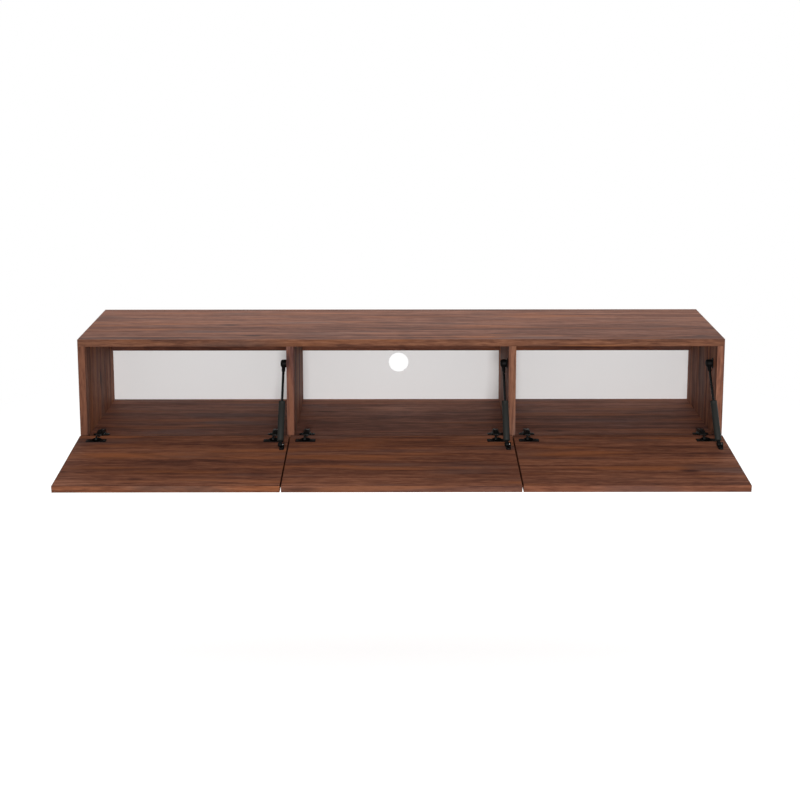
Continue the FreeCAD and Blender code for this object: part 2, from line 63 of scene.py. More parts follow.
# ---- Doors
DOOR_THICK = 18.0
DOOR_MARGIN = 1.5           # from a door's edge to the cabinet's
DOOR_GAP = 3.0
MIDDLE_DOOR_HALF = 310.0
DOOR_FACE = FRONT - 2.5     # inner face of a closed door
DOOR_BASE = BASE + DOOR_MARGIN
DOOR_HEAD = TOP - DOOR_MARGIN
OPEN_ANGLE = 95.2
PIVOT_OUT, PIVOT_UP = 17.7, 9.0     # turning axis, from the door's inner lower edge
PIVOT = Vector((0, DOOR_FACE - PIVOT_OUT, DOOR_BASE + PIVOT_UP))
BAYS = {
    "left": (-INNER_SIDE, -DIVIDER_OUTER),
    "middle": (-DIVIDER_INNER, DIVIDER_INNER),
    "right": (DIVIDER_OUTER, INNER_SIDE),
}
DOORS = {
    "left": (DOOR_MARGIN - HALF_WIDTH, -MIDDLE_DOOR_HALF - DOOR_GAP),
    "middle": (-MIDDLE_DOOR_HALF, MIDDLE_DOOR_HALF),
    "right": (MIDDLE_DOOR_HALF + DOOR_GAP, HALF_WIDTH - DOOR_MARGIN),
}

# ---- Concealed hinges
HINGE_INSET = 34.0          # from the bay's wall to the hinge's middle
CUP_RADIUS = 13.0
CUP_DEPTH = 12.0
CUP_UP = 26.5               # cup centre above the door's lower edge
CUP_WALL = 1.0
CUP_HOLLOW = CUP_RADIUS - CUP_WALL
CUP_COVE = 1.5              # corner at the foot of the hollow
CUP_EDGE = 1.0              # corner round the outside of the foot
CUP_LIP = 0.8               # width of the rim inside the flange
POCKET_LAND = 2.0           # from the cup's seat to the square patch that it is sunk in
POCKET_CUTS = 11            # on each side of that patch, to make it round
FLANGE = 0.8
FLANGE_RADIUS = 14.0
FLANGE_MOUTH = CUP_HOLLOW + 0.2
FLANGE_EASE = 0.25
EAR_UP = 5.0                # middle of the flange's two ears beyond the cup's centre
EARS = (28.0, 9.0, 3.0)     # half length and half width of the ears' bar, and its corners
CUP_SCREW = 22.5            # screws each side of the cup's centre
PLATE_FRONT = FRONT + 6.0
WING_FRONT = FRONT + 16.0
WING_LENGTH = 12.0
WING_THICK = 2.5
WING_HALF = 22.5
WING_ROUND = WING_LENGTH / 2 - 0.2
PLATE_SCREW = 15.0
PLATE_EASE, WING_EASE, SHOULDER_EASE = 0.8, 0.5, 1.0
SHOULDER_HALF = 11.2
SHOULDER_HEIGHT = 5.5
SHOULDER_SPARE = 1.0        # beyond the wings, to the front and the rear
ARM_WIDTH = 15.0
ARM_UNDERSIDE = SHELF + 6.0
ARM_TOP = ARM_UNDERSIDE + 11.5
ARM_REAR = FRONT + 40.0
# the arm's back from heel to nose: where it bends, and how far below the arm's top
ARM_BACK = (
    (ARM_REAR, 8.5), (ARM_REAR - 2.0, 6.5), (WING_FRONT + 2.0, 0.8),
    (WING_FRONT - 5.0, 0.0), (FRONT, 2.0),
)
ARM_PLAY = 0.3              # between the arm and what swings under it
CHEEK = 1.6                 # thickness of the arm's two cheeks
CHEEK_EASE, WEB_EASE = 0.5, 0.3
NOSE_ANGLE = 68.0
# adjusting screws on the arm: where they are, how far below its top, and their lean
ADJUSTERS = ((FRONT + 7.0, 1.1, -0.18), (FRONT + 28.0, 3.6, 0.28))
ADJUSTER_HEAD = (3.6, 0.8)  # radius and height
SWEEP = math.hypot(PIVOT_OUT, PIVOT_UP)     # reach of the door's inner lower edge
LINK_INNER = SWEEP + 0.45
LINK_OUTER = LINK_INNER + 1.8
LINK_EASE = 0.3
LINKS = {                   # left, right, first and last angle
    "inner": (0.3, 5.6, 63.8, 102.4),
    "outer": (-5.6, -0.3, 99.0, 137.5),
}

# ---- Cross-headed screws
SCREW_HEAD = (3.2, 1.0)     # radius and height
# outline of the head and size of the cross, as shares of the head's height and radius
HEAD_PROFILE = ((0, 0), (0, 1), (0.45, 1), (0.85, 0.9), (1, 0.78))
CROSS_REACH, CROSS_HALF, CROSS_DEPTH = 0.56, 0.15, 0.6

# ---- Gas struts
STRUT_INSET = 11.5
WALL_BALL = (FRONT + 45.0, TOP - 82.0)
DOOR_BALL_UP = 78.0
DOOR_BALL_LIFT = 10.0
BALL = 4.0
BALL_PLAY = 0.08
STUD = 2.2
STUD_PLAY = 0.3
STUD_ROOT = 1.0             # where the stud starts inside its ball, from the centre
STUD_EDGE = 0.2
UPPER_HEAD = (11.0, 8.5)    # radius and half width of the drum round each ball
LOWER_HEAD = (6.5, 6.0)
DRUM_EDGE = 1.0
DOME_RISE = 0.7             # height of the drum's domed end, as a share of its half width
DOME_FLAT, DOME_ROUND = 0.45, 0.55          # its flat and its round, as shares of its radius
SEAT_MOUTH = 30.0           # angle from the stud at which the ball's seat starts
SHANK = 5.0
SHANK_START = 4.6
SHANK_EDGE = 0.5
UPPER_REACH = 23.0
LOWER_REACH = 10.0
TUBE_RADIUS = 9.0
TUBE_BORE = 8.0
TUBE_START = 111.5
TUBE_EDGE = 0.5
TUBE_FLOOR = 3.0            # thickness of its closed end
TUBE_GROOVE = 5.0           # from the open end to the groove turned in it
GROOVE_DEPTH = 0.5
# rounding of the closed end: back from the end, and in from the side
TUBE_CLOSING = ((2.5, 0.0), (1.0, 0.7), (0.0, 2.2))
ROD_RADIUS = 3.5
ROD_START = 18.0
ROD_END = 125.0
ROD_EDGE = 0.4
BRACKET = 2.0               # thickness of the strut's brackets
BRACKET_EASE, TAB_EASE = 0.4, 0.3
WALL_PLATE = (12.0, 30.0, 4.0)      # width, length and corners
DOOR_FOOT = (13.0, 26.0, 3.0)
BOSS_GAP = 0.3              # between the wall bracket's boss and the upper socket
BOSS_EDGE = 0.5
TAB_GAP = 0.8               # door bracket's tab from the bay's wall
TAB_HALF = 6.0
TAB_ROUND = 5.5
TAB_ROOT = 0.5              # how far up in its foot the tab starts
SCREW_EDGE = 4.2            # from a bracket screw's centre to the bracket's end

# ---- Steps round a shape, and tolerances
ROUND_STEPS = 40
WIDE_STEPS = 56             # cups and tubes
SCREW_STEPS = 20
STUD_STEPS = 24
BOSS_STEPS = 32
FLANGE_STEPS = 72
LINK_STEPS = 10
ARM_STEPS = 6               # under the arm's nose
SEAT_STEPS = 6              # inside a socket
QUARTER_STEPS = 4           # in a quarter turn of a small corner
CORNER_SEGMENTS = 6         # round a flat corner
WELD = 0.001                # points closer than this become one
FACING = 0.99               # how closely a face or an edge has to keep to an axis
SHARP = 40                  # degrees at which an edge counts as a corner
METAL_CREASE = 40           # degrees at which an edge is no longer shaded smooth
SOCKET_CREASE = 35


# ---- Shapes
def block(left, right, front, rear, low, high):
    bm = bmesh.new()
    made = bmesh.ops.create_cube(bm, size=1.0)
    bmesh.ops.scale(bm, vec=(right - left, rear - front, high - low), verts=made["verts"])
    centre = ((left + right) / 2, (front + rear) / 2, (low + high) / 2)
    bmesh.ops.translate(bm, vec=centre, verts=made["verts"])
    return bm


def drawn_out(bm, faces, way):
    """Push part of a solid's skin along way, so that it stays closed."""
    grown = bmesh.ops.extrude_face_region(bm, geom=faces)
    verts = [item for item in grown["geom"] if isinstance(item, bmesh.types.BMVert)]
    bmesh.ops.delete(bm, geom=faces, context="FACES")
    bmesh.ops.translate(bm, vec=way, verts=verts)


def bevelled(bm, edges, size, segments=2):
    bmesh.ops.bevel(
        bm, geom=edges, offset=size, offset_type="OFFSET", segments=segments,
        profile=0.5, affect="EDGES", material=-1, clamp_overlap=True,
    )


def outward_corners(bm):
    return [edge for edge in bm.edges
            if edge.is_manifold and edge.calc_face_angle_signed(0.0) > math.radians(SHARP)]


def eased(bm, size):
    """Round the outward edges of a solid."""
    bmesh.ops.dissolve_limit(
        bm, angle_limit=math.radians(1), verts=bm.verts[:], edges=bm.edges[:],
    )
    bmesh.ops.recalc_face_normals(bm, faces=bm.faces[:])
    bevelled(bm, outward_corners(bm), size)
    return bm


def corners_rounded(bm, way, radius):
    """Round the edges of a plate that run along way."""
    edges = [edge for edge in bm.edges
             if abs((edge.verts[1].co - edge.verts[0].co).normalized().dot(way)) > FACING]
    bevelled(bm, edges, radius, CORNER_SEGMENTS)
    return bm


def cut_along(bm, spot, way, faces, dist=WELD):
    """Divide some of a solid's faces along a plane."""
    verts = list(dict.fromkeys(vert for face in faces for vert in face.verts))
    edges = list(dict.fromkeys(edge for face in faces for edge in face.edges))
    bmesh.ops.bisect_plane(
        bm, geom=verts + edges + faces, dist=dist, plane_co=spot, plane_no=way,
    )


def turned(start, way, profile, steps=ROUND_STEPS):
    """A profile of (distance along, radius), turned about a line."""
    bm = bmesh.new()
    way = way.normalized()
    out = way.orthogonal().normalized()
    ring = [bm.verts.new(start + way * along + out * radius) for along, radius in profile]
    edges = [bm.edges.new(pair) for pair in zip(ring, ring[1:])]
    bmesh.ops.spin(
        bm, geom=ring + edges, cent=start, axis=way, dvec=(0, 0, 0),
        angle=math.tau, steps=steps, use_merge=True,
    )
    bmesh.ops.remove_doubles(bm, verts=bm.verts[:], dist=WELD)
    return bm


def rod_shape(start, way, radius, length, chamfer, steps=ROUND_STEPS):
    return turned(start, way, [
        (0, 0), (0, radius - chamfer), (chamfer, radius),
        (length - chamfer, radius), (length, radius - chamfer), (length, 0),
    ], steps=steps)


def thicken(bm, faces, way):
    """Make an open sheet a solid that reaches along way."""
    grown = bmesh.ops.extrude_face_region(bm, geom=faces, use_keep_orig=True)
    verts = [item for item in grown["geom"] if isinstance(item, bmesh.types.BMVert)]
    bmesh.ops.translate(bm, vec=way, verts=verts)
    bmesh.ops.recalc_face_normals(bm, faces=bm.faces[:])


def filled(points, way):
    """A flat outline given its thickness, along way."""
    bm = bmesh.new()
    face = bm.faces.new([bm.verts.new(point) for point in points])
    thicken(bm, [face], way)
    return bm


def together(*solids):
    """Several closed solids in one mesh."""
    whole = bmesh.new()
    for solid in solids:
        bmesh.ops.recalc_face_normals(solid, faces=solid.faces[:])
        part = bpy.data.meshes.new("part")
        solid.to_mesh(part)
        solid.free()
        whole.from_mesh(part)
        bpy.data.meshes.remove(part)
    return whole


DOOR_SWING = Matrix.Rotation(math.radians(OPEN_ANGLE), 3, "X")


def swung_open(bm):
    """Turn a shape from the closed door to where the open door holds it."""
    bmesh.ops.rotate(bm, cent=PIVOT, matrix=DOOR_SWING, verts=bm.verts[:])
    return bm


def on_swing(radius, angle):
    turn = math.radians(angle)
    return PIVOT + Vector((0, radius * math.cos(turn), radius * math.sin(turn)))


def arc(radius, first, last, steps):
    return [on_swing(radius, first + (last - first) * i / steps) for i in range(steps + 1)]


def finished(bm, name, body, material, stands_for=(), crease=None):
    """Turn the shape's faces outwards, bring it to metres and hang it on its body."""
    bmesh.ops.recalc_face_normals(bm, faces=bm.faces[:])
    bmesh.ops.scale(bm, vec=(MILLIMETRE,) * 3, verts=bm.verts[:])
    mesh = bpy.data.meshes.new(name)
    bm.to_mesh(mesh)
    bm.free()
    if crease:
        mesh.shade_smooth()
        mesh.set_sharp_from_angle(angle=math.radians(crease))
    mesh.materials.append(material)
    piece = bpy.data.objects.new(name, mesh)
    bpy.context.scene.collection.objects.link(piece)
    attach(piece, body)
    if stands_for:
        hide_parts(*stands_for)


# ---- Materials
class Finish:
    """A node material, with short names for the nodes that the finishes use."""

    def __init__(self, name):
        self.material = bpy.data.materials.new(name)
        self.material.use_nodes = True
        self.tree = self.material.node_tree
        self.tree.nodes.clear()
        self.out = self.node("ShaderNodeOutputMaterial")
        self.shader = self.node("ShaderNodeBsdfPrincipled")
        self.link(self.shader.outputs["BSDF"], self.out.inputs["Surface"])
        self.place = self.node("ShaderNodeTexCoord").outputs["Object"]

    def node(self, kind, **settings):
        made = self.tree.nodes.new(kind)
        for name, value in settings.items():
            setattr(made, name, value)
        return made

    def link(self, source, target):
        self.tree.links.new(source, target)

    def shade(self, **sources):
        """Link the shader's colour and roughness to what makes them."""
        names = {"colour": "Base Color", "roughness": "Roughness"}
        for name, source in sources.items():
            self.link(source, self.shader.inputs[names[name]])

    def set(self, **values):
        names = {"metallic": "Metallic", "roughness": "Roughness",
                 "specular": "Specular IOR Level"}
        for name, value in values.items():
            self.shader.inputs[names[name]].default_value = value

    def mapped(self, vector, scale=(1, 1, 1), shift=(0, 0, 0), turn=(0, 0, 0)):
        made = self.node("ShaderNodeMapping")
        made.inputs["Scale"].default_value = scale
        made.inputs["Location"].default_value = shift
        made.inputs["Rotation"].default_value = turn
        self.link(vector, made.inputs["Vector"])
        return made.outputs["Vector"]

    def noise(self, vector, detail=2.0, roughness=0.5, distortion=0.0):
        made = self.node("ShaderNodeTexNoise")
        made.inputs["Scale"].default_value = 1.0
        made.inputs["Detail"].default_value = detail
        made.inputs["Roughness"].default_value = roughness
        made.inputs["Distortion"].default_value = distortion
        self.link(vector, made.inputs["Vector"])
        return made.outputs["Fac"]

    def mottle(self, waves, **more):
        """Noise that is alike in every direction, with so many waves to the metre."""
        return self.noise(self.mapped(self.place, scale=(waves, waves, waves)), **more)

    def cells(self, vector):
        made = self.node("ShaderNodeTexVoronoi")
        made.inputs["Scale"].default_value = 1.0
        self.link(vector, made.inputs["Vector"])
        return made.outputs["Distance"]

    def ramp(self, factor, *stops):
        made = self.node("ShaderNodeValToRGB")
        elements = made.color_ramp.elements
        while len(elements) < len(stops):
            elements.new(0.5)
        for element, (spot, colour) in zip(elements, stops):
            element.position = spot
            element.color = (*colour, 1)
        self.link(factor, made.inputs["Fac"])
        return made.outputs["Color"]

    def level(self, factor, low, high, bottom=0.0, top=1.0):
        """A soft step: bottom at low, top at high."""
        made = self.node("ShaderNodeMapRange", interpolation_type="SMOOTHSTEP")
        made.inputs["From Min"].default_value = low
        made.inputs["From Max"].default_value = high
        made.inputs["To Min"].default_value = bottom
        made.inputs["To Max"].default_value = top
        self.link(factor, made.inputs["Value"])
        return made.outputs["Result"]

    def maths(self, operation, first, second=None):
        made = self.node("ShaderNodeMath", operation=operation)
        for socket, value in zip(made.inputs, (first, second)):
            if value is None:
                continue
            if isinstance(value, (int, float)):
                socket.default_value = value
            else:
                self.link(value, socket)
        return made.outputs["Value"]

    def weighed(self, *terms):
        """Noises added about their middle, each with its own weight."""
        total = 0.5 - 0.5 * sum(weight for _, weight in terms)
        for noise, weight in terms:
            total = self.maths("ADD", self.maths("MULTIPLY", noise, weight), total)
        return total

    def stained(self, under, colour, mask, first, last, depth):
        """Lay a colour over another, from none where mask is first to depth where it is last."""
        made = self.node("ShaderNodeMix", data_type="RGBA")
        factor, below, above = made.inputs[0], made.inputs[6], made.inputs[7]
        self.link(self.level(mask, first, last, 0.0, depth), factor)
        self.link(under, below)
        above.default_value = (*colour, 1)
        return made.outputs[2]

    def vector_maths(self, operation, vector):
        made = self.node("ShaderNodeVectorMath", operation=operation)
        self.link(vector, made.inputs[0])
        return made

    def bump(self, height, strength, distance):
        made = self.node("ShaderNodeBump")
        made.inputs["Strength"].default_value = strength
        made.inputs["Distance"].default_value = distance
        self.link(height, made.inputs["Height"])
        self.link(made.outputs["Normal"], self.shader.inputs["Normal"])


# veneer colours, from the dark heart streaks to the pale flecks
HEART = (0.036, 0.014, 0.012)
DARK = (0.076, 0.028, 0.019)
BROWN = (0.138, 0.050, 0.030)
RUSSET = (0.188, 0.070, 0.040)
PALE = (0.268, 0.106, 0.060)
ORANGE = (0.290, 0.098, 0.040)
DRAB = (0.132, 0.072, 0.060)
# how the boards and their edge bands are tinted, and how much they shine; the tints of the walls,
# shelf, rail and bands are painted light and shade
TOP_LOOK = {"tint": (0.98, 1.00, 1.00), "shine": 0.10, "contrast": 0.76}
# tint: painted light and sheen on the top's front band, with its own tone
TOP_BAND_LIGHT_AND_TONE = {"tint": (0.98, 1.10, 1.09)}
# tint: painted light and painted sheen, lightening and greying the shelf; shine and contrast are
# its own
SHELF_PAINTED_LIGHT_LOOK = {"tint": (1.12, 1.16, 1.22), "shine": 0.13, "contrast": 0.82}
# tint: painted light, lightening the sides and dividers beyond what the lamps give them; shine
# and contrast are the boards' own
WALL_PAINTED_LIGHT_LOOK = {"tint": (1.24, 1.27, 1.22), "shine": 0.10, "contrast": 1.35}
# tint: painted shade, darkening the rails as if shaded by the top board above them
RAIL_PAINTED_SHADE_LOOK = {"tint": (0.58, 0.55, 0.56)}
DOOR_LOOK = {"tint": (1.0, 1.0, 0.97), "shine": 0.05}
# tint: painted shade, darkening the doors' end bands as in the narrow gaps between doors; shine
# is off
DOOR_END_PAINTED_SHADE_LOOK = {"tint": (0.6, 0.6, 0.6), "shine": 0.0}
# each upright band's tint: painted light, shade and sheen, with its own tone
UPRIGHT_BAND_LIGHT_AND_TONE = {
    "left_side": (0.69, 0.72, 0.74),
    "right_side": (1.25, 1.40, 1.48),
    "left_divider": (0.81, 0.96, 1.28),
    "right_divider": (1.16, 1.36, 1.42),
}
# each door's long bands: a tint of painted light, shade and sheen, with their own tone
DOOR_BAND_LIGHT_AND_TONE = {
    "left": (1.12, 1.10, 0.95),
    "middle": (0.75, 0.84, 0.97),
    "right": (0.91, 0.89, 0.86),
}
# where in the figure each board's leaf of veneer is cut; its bands have leaves of their own
LEAF_STEP = (1.37, 0.71, 0.43)
SPOT_STEP = (1.0, 1.9, 0.6)         # the same for each noise in a leaf
LEAVES = {
    "top": 1, "top_band": 2, "top_ends": 3, "bottom": 4, "bottom_band": 5,
    "left_side": 6, "right_side": 8, "left_divider": 10, "right_divider": 12,
    "left_side_bands": 36, "right_side_bands": 38,
    "left_divider_band": 40, "right_divider_band": 42,
    "rail_left": 30, "rail_middle": 31, "rail_right": 32,
    "door_left": 14, "door_left_long_bands": 15, "door_left_end_bands": 16,
    "door_middle": 14, "door_middle_long_bands": 15, "door_middle_end_bands": 16,
    "door_right": 20, "door_right_long_bands": 21, "door_right_end_bands": 22,
}


def walnut(leaf, upright=False, tint=(1, 1, 1), shine=0.06, contrast=1.0):
    """Walnut veneer, with its grain along X or up the board.

    tint and contrast fit one board to the others; on the walls, shelf, rail and edge bands the
    tint is painted light, shade and sheen.
    """
    wood = Finish("walnut_" + leaf)
    turn = (0, QUARTER_TURN, 0) if upright else (0, 0, 0)
    cut = [LEAVES[leaf] * step for step in LEAF_STEP]
    grain = wood.mapped(wood.place, shift=cut, turn=turn)

    def lines(along, across, spot=0.0, **more):
        """Noise drawn out along the grain; along and across count its waves in a metre."""
        shift = [spot * step for step in SPOT_STEP]
        return wood.noise(wood.mapped(grain, (along, across, across), shift), **more)

    # tone: bands as long as the board, streaks and fine lines
    tone = wood.weighed(
        (lines(0.14, 15.0, 3.1, detail=1.5), 0.80),
        (lines(0.35, 62.0, 4.6, detail=2.0), 0.65),
        (lines(3.2, 58.0, 0.7, detail=3.0, roughness=0.6, distortion=0.4), 0.95),
        (lines(19.0, 150.0, 5.2, detail=3.0, roughness=0.6, distortion=0.15), 0.90),
        (lines(40.0, 480.0, 7.7, detail=2.0), 0.50),
    )
    tone = wood.maths("ADD", wood.maths("MULTIPLY", tone, contrast), 0.5 - contrast / 2)
    body = wood.ramp(tone, (0.14, DARK), (0.40, BROWN), (0.56, RUSSET), (0.84, PALE))
    # hue: orange streaks and drab patches
    streaks = lines(1.9, 30.0, 8.3, detail=3.0)
    body = wood.stained(body, ORANGE, streaks, 0.51, 0.70, 0.72)
    patches = lines(2.2, 15.0, 2.6, detail=2.0)
    body = wood.stained(body, DRAB, patches, 0.53, 0.70, 0.60)
    # dark heart streaks, some long and soft, some short and sharp
    soft = lines(2.2, 42.0, 6.4, detail=3.0, distortion=0.6)
    body = wood.stained(body, HEART, soft, 0.42, 0.28, 0.62)
    sharp = lines(6.0, 110.0, 9.9, detail=2.0, distortion=0.4)
    body = wood.stained(body, HEART, sharp, 0.37, 0.26, 0.60)
    # growth lines: contours of a long soft hill
    hill = wood.maths("MULTIPLY", lines(0.8, 8.0, 1.2, detail=1.5, roughness=0.45), 74.0)
    body = wood.stained(body, HEART, wood.maths("SINE", hill), 0.2, 1.0, 0.22)
    # small eyes where a twig grew
    eyes = wood.cells(wood.mapped(grain, scale=(2.4, 9.0, 9.0), shift=(4.4, 0.9, 3.7)))
    body = wood.stained(body, HEART, eyes, 0.10, 0.03, 0.85)

    # the board's tint, which on the walls, shelf, rail and bands is painted light and shade, and
    # dark pores sunk in its surface
    pores = lines(45.0, 1300.0, detail=1.0)
    tinted = wood.vector_maths("MULTIPLY", body)
    tinted.inputs[1].default_value = tint
    colour = wood.vector_maths("SCALE", tinted.outputs["Vector"])
    wood.link(wood.level(pores, 0.36, 0.46, 0.80, 1.0), colour.inputs["Scale"])
    wood.shade(colour=colour.outputs["Vector"], roughness=wood.level(tone, 0.2, 0.8, 0.72, 0.60))
    wood.set(specular=shine)
    wood.bump(wood.maths("ADD", wood.maths("MULTIPLY", tone, 0.5), pores), 0.22, 0.0002)
    return wood.material


def white_lacquer():
    """The back boards' lacquer: roller texture and a faint cloud."""
    board = Finish("white_board")
    cloud = board.mottle(4, detail=3.0)
    roller = board.mottle(900, detail=2.0)
    board.shade(
        colour=board.ramp(cloud, (0.3, (0.845, 0.842, 0.842)), (0.7, (0.859, 0.856, 0.856))),
        roughness=board.level(roller, 0.3, 0.7, 0.50, 0.62),
    )
    board.set(specular=0.2)
    board.bump(roller, 0.12, 0.0001)
    return board.material


def beech():
    wood = Finish("dowel_wood")
    fibre = wood.noise(wood.mapped(wood.place, scale=(160, 160, 60)), detail=3.0)
    wood.shade(colour=wood.ramp(fibre, (0.35, (0.50, 0.34, 0.20)), (0.65, (0.68, 0.50, 0.32))))
    wood.set(roughness=0.7)
    return wood.material


def metal(name, dark, pale, waves, rough, metallic=1.0, specular=0.5):
    """Metal with a fine mottle between two colours, and waves of it to the metre."""
    steel = Finish(name)
    speckle = steel.mottle(waves, detail=4.0, roughness=0.6)
    wear = steel.mottle(waves / 9, detail=3.0)
    steel.shade(
        colour=steel.ramp(speckle, (0.3, dark), (0.75, pale)),
        roughness=steel.level(wear, 0.3, 0.7, rough * 0.8, rough * 1.25),
    )
    steel.set(metallic=metallic, specular=specular)
    steel.bump(speckle, 0.1, 0.00005)
    return steel.material


def coated(name, dark, pale, waves, rough, specular):
    """Paint, plastic or blackened steel: the same mottle without a metal's shine."""
    return metal(name, dark, pale, waves, rough, 0.0, specular)


def grey(level):
    return (level, level, level)


WHITE_BOARD = white_lacquer()
DOWEL_WOOD = beech()
ZINC = metal("zinc_steel", (0.42, 0.42, 0.40), (0.66, 0.66, 0.64), 1500, 0.35)
BLACK_STEEL = coated("black_steel", grey(0.0015), grey(0.004), 1800, 0.45, 0.07)
HINGE_STEEL = coated("hinge_steel", grey(0.003), (0.0070, 0.0075, 0.0070), 1800, 0.34, 0.17)
BLACK_SCREW = coated("black_screw", grey(0.003), grey(0.009), 2500, 0.34, 0.20)
STRUT_PAINT = coated("strut_paint", (0.0130, 0.0138, 0.0126), (0.0215, 0.0222, 0.0200),
                     2200, 0.52, 0.12)
ROD_STEEL = metal("rod_steel", grey(0.006), grey(0.020), 1200, 0.24)
BALL_STEEL = metal("ball_steel", grey(0.16), (0.32, 0.32, 0.31), 1200, 0.26)
BLACK_PLASTIC = coated("black_plastic", grey(0.0015), grey(0.004), 2600, 0.50, 0.07)


# ---- Cabinet boards
def in_rebate(point):
    beside = abs(point.x) < HALF_WIDTH - REBATE_LAND
    return beside and BASE + REBATE_LAND < point.z < TOP - REBATE_LAND


def rebated_board(left, right, front, low, high):
    """A board that reaches the wall only outside the back's rebate."""
    bm = block(left, right, front, -BACK_THICK, low, high)
    planes = [(X_AXIS * side * (HALF_WIDTH - REBATE_LAND), X_AXIS) for side in (-1, 1)]
    planes += [(Z_AXIS * level, Z_AXIS) for level in (BASE + REBATE_LAND, TOP - REBATE_LAND)]
    for spot, way in planes:
        cut_along(bm, spot, way, bm.faces[:])
    rim = [face for face in bm.faces
           if face.normal.y > FACING and not in_rebate(face.calc_center_median())]
    drawn_out(bm, rim, Y_AXIS * BACK_THICK)
    return eased(bm, EASE)


def band(left, right, front, rear, low, high):
    return eased(block(left, right, front, rear, low, high), BAND_EASE)


def stretch(side, near, far):
    """From near to far, on the cabinet's left (-1) or right (1)."""
    return sorted((side * near, side * far))


def make_top():
    core = rebated_board(-HALF_WIDTH + BAND, HALF_WIDTH - BAND, FRONT + BAND, CEILING, TOP)
    finished(core, "top_board", "cabinet", walnut("top", **TOP_LOOK), ["top_panel"])
    front = band(-HALF_WIDTH, HALF_WIDTH, FRONT, FRONT + BAND, CEILING, TOP)
    # the front band's tint is painted light and sheen with its own tone
    finished(front, "top_front_band", "cabinet", walnut("top_band", **TOP_BAND_LIGHT_AND_TONE))
    ends = together(*[
        band(*stretch(side, HALF_WIDTH - BAND, HALF_WIDTH), FRONT + BAND, 0, CEILING, TOP)
        for side in (-1, 1)
    ])
    finished(ends, "top_end_bands", "cabinet", walnut("top_ends"))


def make_bottom():
    core = rebated_board(-INNER_SIDE, INNER_SIDE, FRONT + BAND, BASE, SHELF)
    # the shelf board carries painted light and sheen in its tint
    finished(core, "bottom_board", "cabinet",
             walnut("bottom", **SHELF_PAINTED_LIGHT_LOOK), ["bottom_panel"])
    front = band(-INNER_SIDE, INNER_SIDE, FRONT, FRONT + BAND, BASE, SHELF)
    finished(front, "bottom_front_band", "cabinet", walnut("bottom_band"))


def make_upright(name, core, bands, bands_name):
    """A side or a divider: its board, and the bands on the edges that show."""
    # the side or divider board carries painted light in its tint
    finished(core, name + "_board", "cabinet",
             walnut(name, upright=True, **WALL_PAINTED_LIGHT_LOOK), [name])
    # the bands' tint is painted light, shade and sheen with their own tone
    finished(bands, bands_name, "cabinet",
             walnut(bands_name, upright=True, tint=UPRIGHT_BAND_LIGHT_AND_TONE[name]))


def make_side(name, side):
    edges = stretch(side, INNER_SIDE, HALF_WIDTH)
    core = rebated_board(*edges, FRONT + BAND, BASE + BAND, CEILING)
    bands = together(
        band(*edges, FRONT, FRONT + BAND, BASE, CEILING),
        band(*edges, FRONT + BAND, 0, BASE, BASE + BAND),
    )
    make_upright(name, core, bands, name + "_bands")


def make_divider(name, side):
    edges = stretch(side, DIVIDER_INNER, DIVIDER_OUTER)
    core = eased(block(*edges, FRONT + BAND, -BACK_THICK, SHELF, CEILING), EASE)
    front = band(*edges, FRONT, FRONT + BAND, SHELF, CEILING)
    make_upright(name, core, front, name + "_band")


def make_boards():
    make_top()
    make_bottom()
    make_side("left_side", -1)
    make_side("right_side", 1)
    make_divider("left_divider", -1)
    make_divider("right_divider", 1)


# ---- Doors
def cup_centre(x):
    return Vector((x, DOOR_FACE, DOOR_BASE + CUP_UP))


def cut_pocket(bm, x):
    """Sink the hinge cup's seat into a closed door's inner face."""
    centre = cup_centre(x)
    half = CUP_RADIUS + POCKET_LAND
    for way in (X_AXIS, Z_AXIS):
        for spot in (centre + way * half, centre - way * half):
            inner = [face for face in bm.faces
                     if face.normal.y > FACING
                     and abs(face.calc_center_median().y - DOOR_FACE) < 0.01]
            cut_along(bm, spot, way, inner)
    patch = min((face for face in bm.faces if face.normal.y > FACING),
                key=lambda face: (face.calc_center_median() - centre).length)
    bmesh.ops.bisect_edges(bm, edges=patch.edges[:], cuts=POCKET_CUTS)
    bmesh.ops.inset_region(bm, faces=[patch], thickness=1.0)
    for vert in patch.verts:
        vert.co = centre + (vert.co - centre).normalized() * CUP_RADIUS
    sunk = bmesh.ops.extrude_discrete_faces(bm, faces=[patch])
    bmesh.ops.translate(bm, vec=(0, -CUP_DEPTH, 0), verts=sunk["faces"][0].verts[:])


def hinge_places(bay):
    left, right = BAYS[bay]
    return (left + HINGE_INSET, right - HINGE_INSET)


def make_door(bay):
    body = "door_" + bay
    left, right = DOORS[bay]
    low, high = DOOR_BASE + BAND, DOOR_HEAD - BAND
    faces = (DOOR_FACE - DOOR_THICK, DOOR_FACE)
    core = eased(block(left + BAND, right - BAND, *faces, low, high), EASE)
    for x in hinge_places(bay):
        cut_pocket(core, x)
    finished(swung_open(core), body + "_board", body, walnut(body, **DOOR_LOOK), [body])
    long_bands = together(
        band(left, right, *faces, DOOR_BASE, low),
        band(left, right, *faces, high, DOOR_HEAD),
    )
    # the long bands' tint is painted light, shade and sheen with their own tone
    finished(swung_open(long_bands), body + "_long_bands", body,
             walnut(body + "_long_bands", tint=DOOR_BAND_LIGHT_AND_TONE[bay]))
    end_bands = together(
        band(left, left + BAND, *faces, low, high),
        band(right - BAND, right, *faces, low, high),
    )
    # the end bands are darkened as painted shade
    finished(swung_open(end_bands), body + "_end_bands", body,
             walnut(body + "_end_bands", **DOOR_END_PAINTED_SHADE_LOOK))


